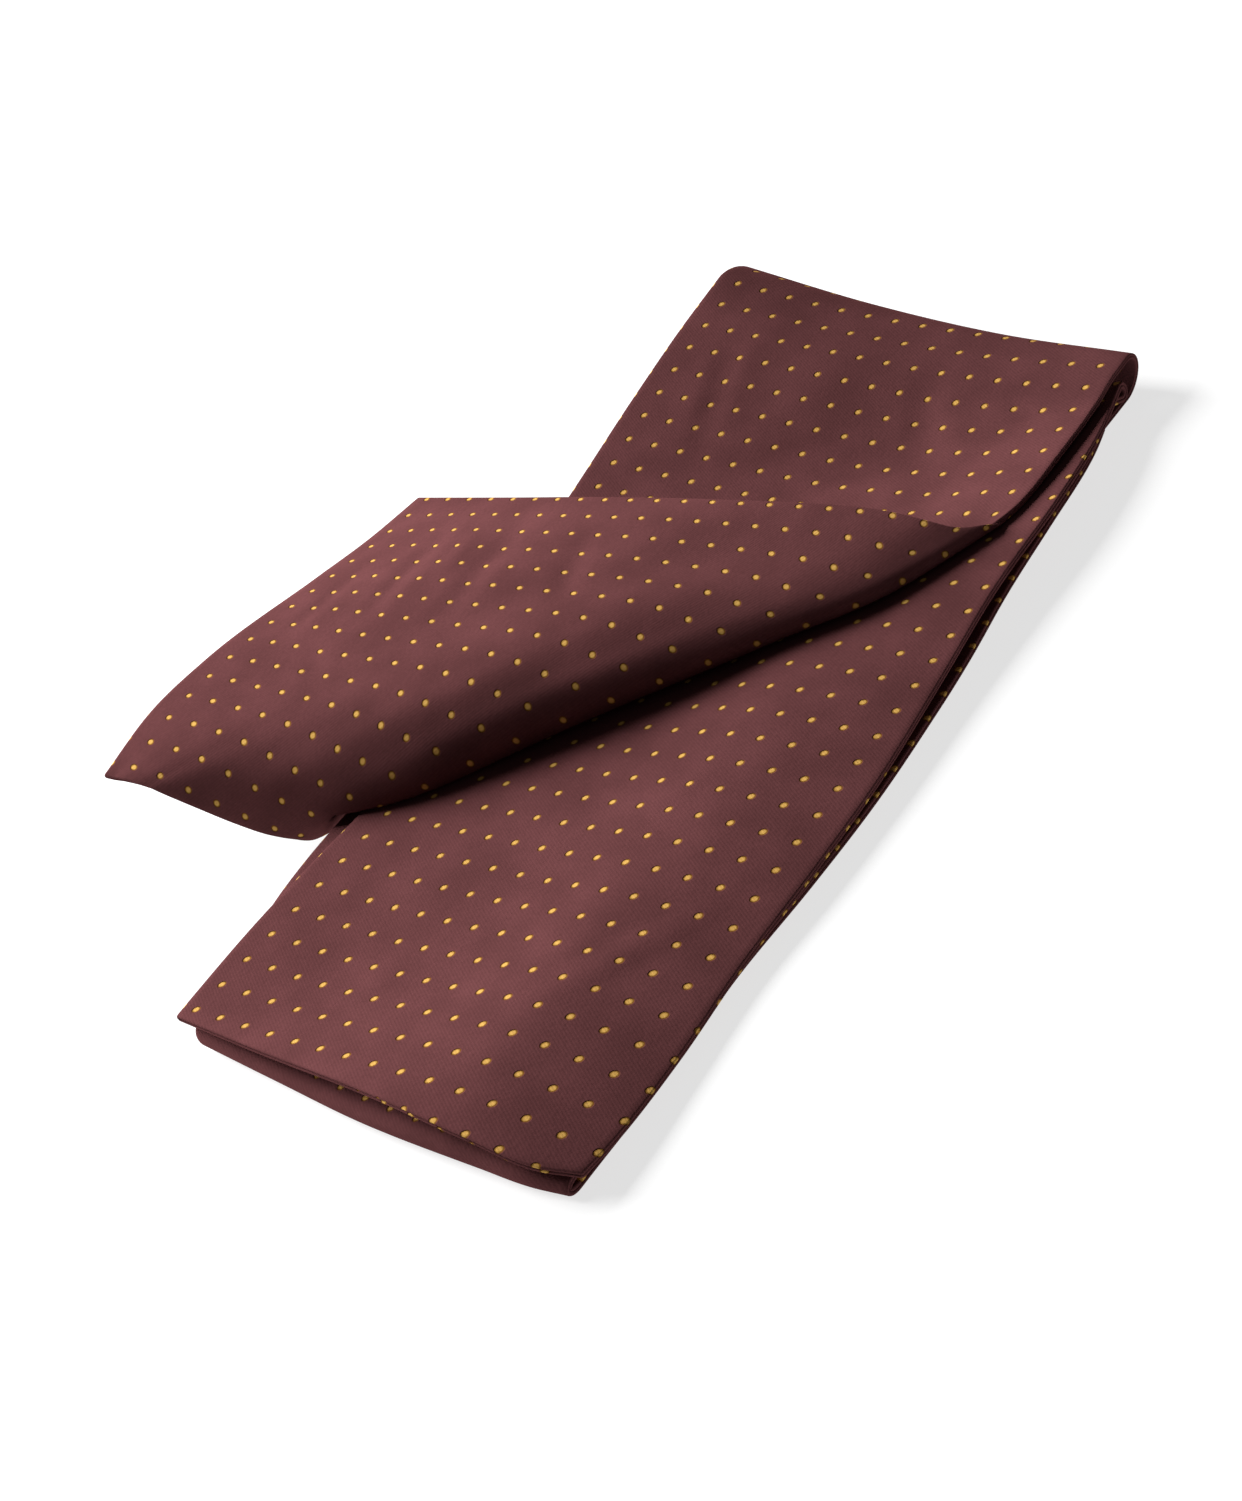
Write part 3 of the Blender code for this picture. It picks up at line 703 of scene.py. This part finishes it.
class NodeMaker:
    """Adds the small arithmetic nodes of a material and links them."""

    def __init__(self, tree):
        self.tree = tree

    def feed(self, value, socket):
        if isinstance(value, (int, float, tuple)):
            socket.default_value = value
        else:
            self.tree.links.new(value, socket)

    def math(self, operation, first, second=0.0):
        node = self.tree.nodes.new("ShaderNodeMath")
        node.operation = operation
        self.feed(first, node.inputs[0])
        self.feed(second, node.inputs[1])
        return node.outputs[0]

    def ramp(self, value, zero, one):
        """Goes smoothly from 0 to 1 as the value goes from zero to one."""
        node = self.tree.nodes.new("ShaderNodeMapRange")
        node.interpolation_type = "SMOOTHSTEP"
        low, high = min(zero, one), max(zero, one)
        self.feed(value, node.inputs["Value"])
        node.inputs["From Min"].default_value = low
        node.inputs["From Max"].default_value = high
        node.inputs["To Min"].default_value = 0.0 if zero < one else 1.0
        node.inputs["To Max"].default_value = 1.0 if zero < one else 0.0
        return node.outputs["Result"]

    def noise(self, vector, scale, detail):
        node = self.tree.nodes.new("ShaderNodeTexNoise")
        self.tree.links.new(vector, node.inputs["Vector"])
        node.inputs["Scale"].default_value = scale
        node.inputs["Detail"].default_value = detail
        return node.outputs["Fac"]

    def mix(self, share, first, second):
        """Goes from the first colour to the second as the share goes from 0 to 1."""
        node = self.tree.nodes.new("ShaderNodeMix")
        node.data_type = "RGBA"
        self.feed(share, node.inputs["Factor"])
        sockets = [s for s in node.inputs if s.type == "RGBA"]
        self.feed(first, sockets[0])
        self.feed(second, sockets[1])
        return [s for s in node.outputs if s.type == "RGBA"][0]


# Camera, floor and light.

CAMERA_PLACE = (277.4, -247.3, 243.3)
CAMERA_UP = (-0.1226, 0.6452, 0.7541)
CAMERA_VIEW = (-0.65712, 0.51662, -0.54891)
CAMERA_LENS = 52.76
FILM_HEIGHT = 36.0
FLOOR_HALF = 6.0                # metres
FLOOR_GREY = (0.32, 0.32, 0.32, 1.0)
FLOOR_GLOW = 0.72               # makes the surface nearly white, with a faint shadow
KEY_PLACE = (-0.92, -0.05, 0.48)
KEY_SIZE = 0.8
KEY_POWER = 46.0
FILL = 0.06


def add_camera():
    data = bpy.data.cameras.new("camera")
    data.sensor_fit = "VERTICAL"
    data.sensor_height = FILM_HEIGHT
    data.lens = CAMERA_LENS
    data.clip_start = 0.01
    data.clip_end = 20.0
    camera = bpy.data.objects.new("camera", data)
    bpy.context.scene.collection.objects.link(camera)
    view = Vector(CAMERA_VIEW).normalized()
    right = view.cross(Vector(CAMERA_UP)).normalized()
    up = right.cross(view)
    turn = Matrix((right, up, -view)).transposed()
    place = (Vector(CAMERA_PLACE) + Vector(SHIFT)) * MM
    camera.matrix_world = Matrix.Translation(place) @ turn.to_4x4()
    bpy.context.scene.camera = camera


def add_floor():
    mesh = bpy.data.meshes.new("floor")
    corners = [(FLOOR_HALF * x, FLOOR_HALF * y, 0) for x, y in ((-1, -1), (1, -1), (1, 1), (-1, 1))]
    mesh.from_pydata(corners, [], [(0, 1, 2, 3)])
    material = bpy.data.materials.new("pale_floor")
    material.use_nodes = True
    shader = material.node_tree.nodes["Principled BSDF"]
    shader.inputs["Base Color"].default_value = FLOOR_GREY
    shader.inputs["Roughness"].default_value = 0.8
    shader.inputs["Specular IOR Level"].default_value = 0.1
    shader.inputs["Emission Color"].default_value = (1.0, 1.0, 1.0, 1.0)
    shader.inputs["Emission Strength"].default_value = FLOOR_GLOW
    mesh.materials.append(material)
    floor = bpy.data.objects.new("floor", mesh)
    bpy.context.scene.collection.objects.link(floor)


def add_key_light():
    data = bpy.data.lights.new("key", "AREA")
    data.shape = "SQUARE"
    data.size = KEY_SIZE
    data.energy = KEY_POWER
    light = bpy.data.objects.new("key", data)
    bpy.context.scene.collection.objects.link(light)
    place = Vector(KEY_PLACE)
    turn = (-place.normalized()).to_track_quat("-Z", "Y").to_matrix().to_4x4()
    light.matrix_world = Matrix.Translation(place) @ turn


def add_world():
    world = bpy.data.worlds.new("studio")
    world.use_nodes = True
    background = world.node_tree.nodes["Background"]
    background.inputs["Color"].default_value = (1.0, 1.0, 1.0, 1.0)
    background.inputs["Strength"].default_value = FILL
    bpy.context.scene.world = world


def main():
    add_camera()
    add_floor()
    add_world()
    add_key_light()
    bpy.context.scene.view_settings.view_transform = "Standard"

    material = silk()
    blade, flap = strip_pieces(material)
    top = band_piece(material)
    lower = lower_piece(material)
    dressed = (
        (blade, "blade", (0.216, 0.168), 0.0258),
        (flap, "flap", (0.216, 0.216), 0.0318),
        (top, "top_layer", (0.216, 0.27), None),
        (lower, "lower_layers", (0.216, 0.40), None),
    )
    for piece, node, flat, area in dressed:
        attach(piece, "root")
        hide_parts(node)


main()
